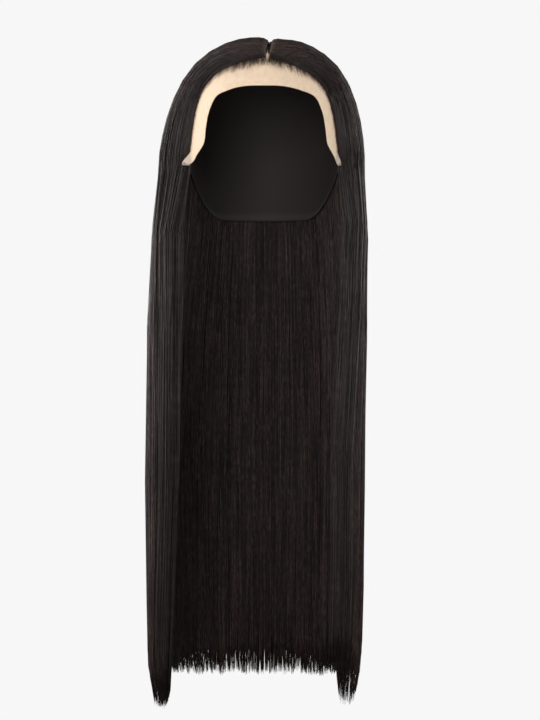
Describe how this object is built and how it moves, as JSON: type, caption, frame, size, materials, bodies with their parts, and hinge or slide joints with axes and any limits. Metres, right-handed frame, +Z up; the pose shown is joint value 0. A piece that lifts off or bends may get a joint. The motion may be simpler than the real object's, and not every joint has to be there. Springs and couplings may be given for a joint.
{
  "type": "lace front wig",
  "caption": "Long straight centre-parted wig on a cap with a sheer lace front and ear tabs, open underneath for the head.",
  "frame": {"origin": "inside of the cap at the top of the head, where the head meets it", "axes": "+Z up the head, -Y out of the face, +X to the wearer's left"},
  "size_m": [0.23, 0.2098, 0.6786],
  "materials": {
    "lace": "sheer skin-coloured lace, matte",
    "net": "black stretch net, matte",
    "hair": "straight soft black hair, satin sheen"
  },
  "bodies": {
    "root": {"lace_front": "lace", "cap_net": "net", "hair_right_front": "hair", "hair_right_side": "hair", "hair_right_back_side": "hair", "hair_right_back": "hair", "hair_left_front": "hair", "hair_left_side": "hair", "hair_left_back_side": "hair", "hair_left_back": "hair"}
  },
  "joints": []
}
